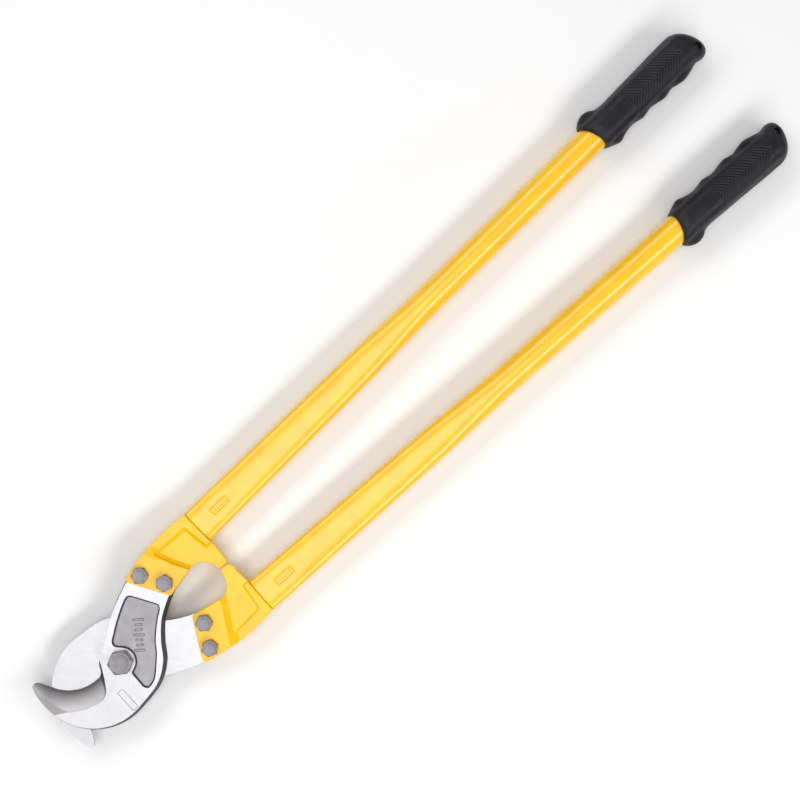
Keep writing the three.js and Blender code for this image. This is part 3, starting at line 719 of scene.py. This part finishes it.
def grip(side):
    """The moulded grip: bore, collar, chevrons, rounded end and hang hole."""
    node = f"{side}_grip"
    rings = grip_mouth()
    stations = np.concatenate([
        GRIP_START + np.array([0.05, 0.3, 0.8, 1.6]),
        np.arange(GRIP_START + 2.6, CHEVRON_FROM, 1.1),
        np.arange(CHEVRON_FROM, CHEVRON_TO, 0.42),
        np.arange(CHEVRON_TO + 0.4, GRIP_END - 2.4, 0.8),
    ])
    rings += [chevrons(grip_ring(x)) for x in stations]
    for t in (0.0, 0.3, 0.55, 0.75, 0.88, 0.96, 1.0):
        rings.append(grip_ring(GRIP_END - GRIP_TIP + GRIP_TIP * t, math.sqrt(1 - 0.93 * t * t)))
    mesh = skin(node, rings)
    mesh.transform(HANDLE)
    obj = new_object(f"{node}_moulded", mesh, HALVES[side])
    there = Matrix.Translation((HANG_HOLE_AT * MM, HANG_HOLE_ACROSS * MM, 0))
    spool = hole_cutter(radius=2.7, flare=0.5, straight=8.5, reach=17)
    cutter = new_object("hole_cutter", spool, HALVES[side] @ HANDLE @ there)
    hole = obj.modifiers.new("hole", "BOOLEAN")
    hole.object = cutter
    hole.operation = "DIFFERENCE"
    bpy.context.view_layer.update()
    apply_modifiers(obj)
    bpy.data.objects.remove(cutter)
    crease(obj.data, 60)
    finish_piece(obj, side, node, slot="grip_rubber", materials=(RUBBER,))


# ---- fasteners: on the axis of their CAD node, z = 0 on the face that bears on the work ----
ROUND = 144
ANGLES = 2 * np.pi * np.arange(ROUND) / ROUND
HEX_POWER = 60
HEX_FACE = 0.475
THREAD_DEPTH = 0.55


def hex_radius(across, corner):
    """Distance from the axis to a hexagon with slightly rounded corners, at each of ANGLES."""
    total = np.zeros(ROUND)
    for k in range(6):
        facing = np.cos(ANGLES - corner - math.pi / 6 - k * math.pi / 3)
        total += np.maximum(facing, 0) ** HEX_POWER
    return across / 2 * total ** (-1 / HEX_POWER)


def turned(radius, z):
    """A ring whose radius and height may be numbers or one value for each angle."""
    radius, z = np.broadcast_to(radius, ROUND), np.broadcast_to(z, ROUND)
    return np.stack([radius * np.cos(ANGLES), radius * np.sin(ANGLES), z], -1)


def hex_side(across, height, corner, both):
    """Rings up a hexagonal head or nut, its corners turned off at the top, or at both ends."""
    face = HEX_FACE * across
    side = hex_radius(across, corner)
    drop = np.maximum(side - face, 0) * math.tan(math.radians(30))
    rings = [turned(face, 0.0), turned(face + 0.15, 0.02)] if both else [turned(face, 0.0)]
    rings.append(turned(side - 0.12, drop if both else 0.03))
    rings.append(turned(side, drop + 0.14 if both else 0.18))
    rings.append(turned(side, height - drop - 0.14))
    rings.append(turned(side - 0.12, height - drop))
    rings.append(turned(face + 0.15, height - 0.04))
    rings.append(turned(face - 0.1, height))
    return rings


def threaded(radius, low, high, pitch):
    """Rings up a threaded shank, its crests and roots a pitch apart."""
    turns = int((high - low) / pitch)
    rings = []
    for i in range(turns):
        start = low + i * pitch
        rings += [turned(radius - THREAD_DEPTH * pitch, start), turned(radius, start + 0.42 * pitch)]
        rings.append(turned(radius, start + 0.58 * pitch))
    return rings


def corner_angle(node, centre):
    """Which way a hexagonal CAD node's corner points."""
    offsets = (v.co - centre for v in frame["nodes"][node].data.vertices)
    corner = max(offsets, key=lambda offset: offset.xy.length)
    return math.atan2(corner.y, corner.x)


def place_fastener(node, side, rings, flip, slot="fastener_steel", material=ZINC, loop=False):
    """Puts rings, with z = 0 on the bearing face, where the CAD node is; flip turns them over."""
    low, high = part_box(node)
    centre = (low + high) / 2
    base = Vector((centre.x, centre.y, high.z if flip else low.z))
    place = Matrix.Translation(base) @ (TURNED_OVER if flip else Matrix.Identity(4))
    mesh = skin(node, rings, loop)
    crease(mesh, 28)
    obj = new_object(f"{node}_part", mesh, place)
    finish_piece(obj, side, node, slot=slot, materials=(material,))


M8 = {"radius": 4.0, "across": 13.0, "head": 5.3, "pitch": 1.25}
M12 = {"radius": 6.0, "across": 19.0, "head": 7.5, "pitch": 1.75}
M8_THREAD = 14.0
PIVOT_SHOULDER = 2 * BLADE_TOP


def bolt(node, side, size, shoulder=None):
    """A bolt with its head up, its length and turn read from its CAD node. A shouldered bolt is
    stepped: threaded up to the shoulder, whose radius is given, and plain from there to the head.
    """
    low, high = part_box(node)
    centre = (low + high) / 2
    corner = corner_angle(node, centre)
    length = (high.z - low.z) / MM - size["head"]
    radius, pitch = size["radius"], size["pitch"]
    thread_end = length - PIVOT_SHOULDER if shoulder else M8_THREAD
    rings = [turned(radius - 1.1, 0), turned(radius - 0.7, 0.15)]
    rings += threaded(radius, 0.9, thread_end, pitch)
    rings.append(turned(radius - 0.1, thread_end))
    if shoulder:
        rings += [turned(shoulder - 0.3, thread_end), turned(shoulder, thread_end + 0.3)]
    rings.append(turned(shoulder or radius, length))
    head = hex_side(size["across"], size["head"], corner, both=False)
    rings += [ring + (0, 0, length) for ring in head]
    face = HEX_FACE * size["across"]
    top = length + size["head"]
    for share, dip in ((0.86, 0.0), (0.84, 0.05), (0.4, 0.07)):
        rings.append(turned(share * face, top - dip))
    place_fastener(node, side, rings, flip=False)


def nut(node, side, size, height, collar=None):
    """A nut under its work, so its bearing face is up; a collar holds a locking ring."""
    low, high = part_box(node)
    corner = -corner_angle(node, (low + high) / 2)
    bore = size["radius"] + 0.15
    rings = hex_side(size["across"], height, corner, both=True)
    if collar:
        outer, seat, top, floor = collar
        rings += [turned(outer + 0.15, height), turned(outer, height + 0.1), turned(outer, top - 0.4)]
        rings += [turned(outer - 0.12, top - 0.1), turned(outer - 0.5, top), turned(seat + 0.1, top)]
        rings += [turned(seat, top - 0.15), turned(seat, floor), turned(bore + 0.1, floor)]
    else:
        rings += [turned(bore + 0.7, height), turned(bore, height - 0.6)]
    rings += [turned(bore, 0.6), turned(bore + 0.6, 0.0)]
    place_fastener(node, side, rings, flip=True, loop=True)


def plain_ring(node, side, outer, hole, height, **finish):
    """A washer or ring with softly rounded rims."""
    r = 0.15
    profile = [(hole + r, 0), (outer - r, 0), (outer - 0.3 * r, 0.3 * r), (outer, r)]
    profile += [(outer, height - r), (outer - 0.3 * r, height - 0.3 * r), (outer - r, height)]
    profile += [(hole + r, height), (hole, height - r), (hole, r)]
    rings = [turned(radius, z) for radius, z in profile]
    place_fastener(node, side, rings, flip=True, loop=True, **finish)


def spring_washer(node, side):
    """A square wire bent round once, with a slanting gap between its ends."""
    low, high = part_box(node)
    height = (high.z - low.z) / MM
    inner, outer, gap, slope = 4.35, 7.0, math.radians(11), 0.09
    corners = []
    for x, y in ((-1, -1), (1, -1), (1, 1), (-1, 1)):
        pair = [(0.86 * x, y), (x, 0.86 * y)]
        corners += pair[::-1] if x * y < 0 else pair
    rings = []
    for share in np.linspace(0, 1, 90):
        ring = []
        for u, v in corners:
            radius = (inner + outer) / 2 + u * (outer - inner) / 2
            angle = gap / 2 + share * (2 * math.pi - gap) + slope * v
            ring.append((radius * math.cos(angle), radius * math.sin(angle), height / 2 * (1 + v)))
        rings.append(ring)
    place_fastener(node, side, rings, flip=True)


# ---- generic marks on the blades ----
BARS = 7
BARS_START = (36.4, 18.6, POCKET_FLOOR)
BARS_TURN = math.atan2(-23.8, -19.7)
BARS_MARGIN = 2.6
BAR_PITCH = 4.35
BAR_WIDTH = 1.3
LONG_BAR = 8.6
SHORT_BAR = 5.6
PLATE_AT = (-18.0, -27.7)


def round_edges(bm, radius):
    bmesh.ops.bevel(
        bm,
        geom=bm.edges[:],
        offset=radius * MM,
        segments=3,
        profile=0.5,
        affect="EDGES",
        clamp_overlap=True,
    )


def marks(side):
    """Plain raised bars in the pocket, every third one long, each on a thin dark foot that is painted
    shade round it.
    """
    way = Vector((math.cos(BARS_TURN), math.sin(BARS_TURN), 0))
    # The dark feet are painted shade round the bars' sides.
    for name, rise, wider, material in (("bars", 0.5, 0.0, POCKET), ("bar_shade_feet", 0.1, 0.7, FORGED_SCALE_AND_SHADE)):
        bars = bmesh.new()
        for i in range(BARS):
            length = SHORT_BAR if i % 3 else LONG_BAR
            middle = Vector(BARS_START) + way * (BARS_MARGIN + BAR_PITCH * i)
            place = Matrix.Translation(middle * MM) @ Matrix.Rotation(BARS_TURN, 4, "Z")
            size = Matrix.Diagonal(
                ((BAR_WIDTH + wider) * MM, (length + wider) * MM, 2 * rise * MM, 1)
            )
            bmesh.ops.create_cube(bars, size=1, matrix=place @ size)
        round_edges(bars, min(0.3, 0.8 * rise))
        mesh = bpy.data.meshes.new(name)
        bars.to_mesh(mesh)
        bars.free()
        crease(mesh, 40)
        obj = new_object(f"{side}_blade_{name}", mesh, HALVES[side])
        finish_piece(obj, side, slot="blade_steel", materials=(material,))


def plate_outline(length, width, corner, line, low, high, steps=8):
    """Rings for a thin raised frame in the shape of a rounded oblong."""
    rings = []
    for quarter in range(4):
        for step in range(steps + 1):
            angle = math.radians(90 * quarter + 90 * step / steps)
            c, s = math.cos(angle), math.sin(angle)
            x = math.copysign(length / 2 - corner, 1 if quarter in (0, 3) else -1)
            y = math.copysign(width / 2 - corner, 1 if quarter in (0, 1) else -1)
            inside = (x + (corner - line) * c, y + (corner - line) * s)
            outside = (x + corner * c, y + corner * s)
            rings.append([(*inside, low), (*outside, low), (*outside, high), (*inside, high)])
    return rings


def blank_plate(side):
    """The raised outline of an empty oblong on the jaw, along Y."""
    outline = plate_outline(
        length=21, width=6.2, corner=1.6, line=0.7, low=BLADE_TOP - 0.1, high=BLADE_TOP + 0.14
    )
    mesh = skin("blank_plate", outline, loop=True)
    crease(mesh, 40)
    there = Matrix.Translation((PLATE_AT[0] * MM, PLATE_AT[1] * MM, 0))
    turn = there @ Matrix.Rotation(math.radians(90), 4, "Z")
    obj = new_object(f"{side}_blade_blank_plate", mesh, HALVES[side] @ turn)
    finish_piece(obj, side, slot="blade_steel", materials=(POCKET,))


for half in ("upper", "lower"):
    blade(half)
    fork_head(half)
    handle_tube(half)
    grip(half)
    marks(half)
    blank_plate(half)
    for number in (1, 2):
        bolt(f"{half}_blade_bolt_{number}", half, M8)
        spring_washer(f"{half}_lock_washer_{number}", half)
        nut(f"{half}_blade_nut_{number}", half, M8, 3.8)

bolt("pivot_bolt", "lower", M12, shoulder=7.0)
plain_ring("pivot_washer", "lower", 12.0, 6.3, 1.2)
nut("pivot_nut", "lower", M12, 5.6, collar=(8.64, 7.4, 7.2, 5.3))
plain_ring("pivot_nut_ring", "lower", 7.25, 6.15, 1.5, slot="nut_nylon", material=NYLON)


# ---- stage, light and camera, in metres ----
FLOOR_REACH = 12.0
FLOOR_BELOW = 0.0002
CAMERA_TURN = math.radians(-42.95)
CAMERA_OVER = Vector((0.3268, 0.0015, 0))
CAMERA_HEIGHT = 1.2
VIEW_ANGLE = math.radians(32.0)
OVERHEAD_SHIFT = Vector((-0.45, 0, 2.0))
STRIP_ASIDE = 0.75
STRIP_HEIGHT = 1.1
WORLD_STRENGTH = 0.3


def floor():
    """A pale paper sheet just under the tool."""
    mesh = bpy.data.meshes.new("floor")
    signs = ((-1, -1), (1, -1), (1, 1), (-1, 1))
    corners = [(x * FLOOR_REACH, y * FLOOR_REACH, 0) for x, y in signs]
    mesh.from_pydata(corners, [], [(0, 1, 2, 3)])
    obj = new_object("floor", mesh, Matrix.Translation((0, 0, CAD_BOX[0][2] - FLOOR_BELOW)))
    paint = Paint("floor_paper", Specular_IOR_Level=0.2)
    clouds = paint.noise(0.4, 2)
    paint.set("Base Color", paint.ramp(clouds, (0.3, 0.9), (0.7, 0.91)))
    paint.set("Roughness", 0.8)
    mesh.materials.append(paint.material)


def softbox(name, position, target, size, power):
    """A rectangular area light at position that faces target."""
    light = bpy.data.lights.new(name, "AREA")
    light.shape = "RECTANGLE"
    light.size, light.size_y = size
    light.energy = power
    obj = bpy.data.objects.new(name, light)
    bpy.context.scene.collection.objects.link(obj)
    obj.location = position
    obj.rotation_euler = (target - position).to_track_quat("-Z", "Y").to_euler()


def photographed(right, up, height):
    """A place given as metres right of, above and in front of the picture's middle."""
    aside = Matrix.Rotation(CAMERA_TURN, 3, "Z") @ Vector((right, up, 0))
    return CAMERA_OVER + aside + Vector((0, 0, height))


floor()
centre = photographed(0, 0, 0)
overhead = CAMERA_OVER + OVERHEAD_SHIFT
upper_left = photographed(-STRIP_ASIDE, STRIP_ASIDE, STRIP_HEIGHT)
lower_right = photographed(STRIP_ASIDE, -STRIP_ASIDE, STRIP_HEIGHT)
softbox("overhead", overhead, overhead - Vector((0, 0, 1)), size=(1.5, 0.9), power=12.7)
softbox("upper_left_strip", upper_left, centre, size=(2.0, 0.5), power=9)
softbox("lower_right_strip", lower_right, centre, size=(2.0, 0.35), power=14)

world = bpy.data.worlds.new("studio")
bpy.context.scene.world = world
world.use_nodes = True
background = world.node_tree.nodes["Background"]
background.inputs["Color"].default_value = (1, 1, 1, 1)
background.inputs["Strength"].default_value = WORLD_STRENGTH

camera = bpy.data.cameras.new("camera")
camera.sensor_width = 36
camera.lens = camera.sensor_width / 2 / math.tan(VIEW_ANGLE / 2)
camera_object = bpy.data.objects.new("camera", camera)
bpy.context.scene.collection.objects.link(camera_object)
camera_object.location = CAMERA_OVER + Vector((0, 0, MID + CAMERA_HEIGHT))
camera_object.rotation_euler = (0, 0, CAMERA_TURN)
bpy.context.scene.camera = camera_object
bpy.context.scene.view_settings.view_transform = "Standard"
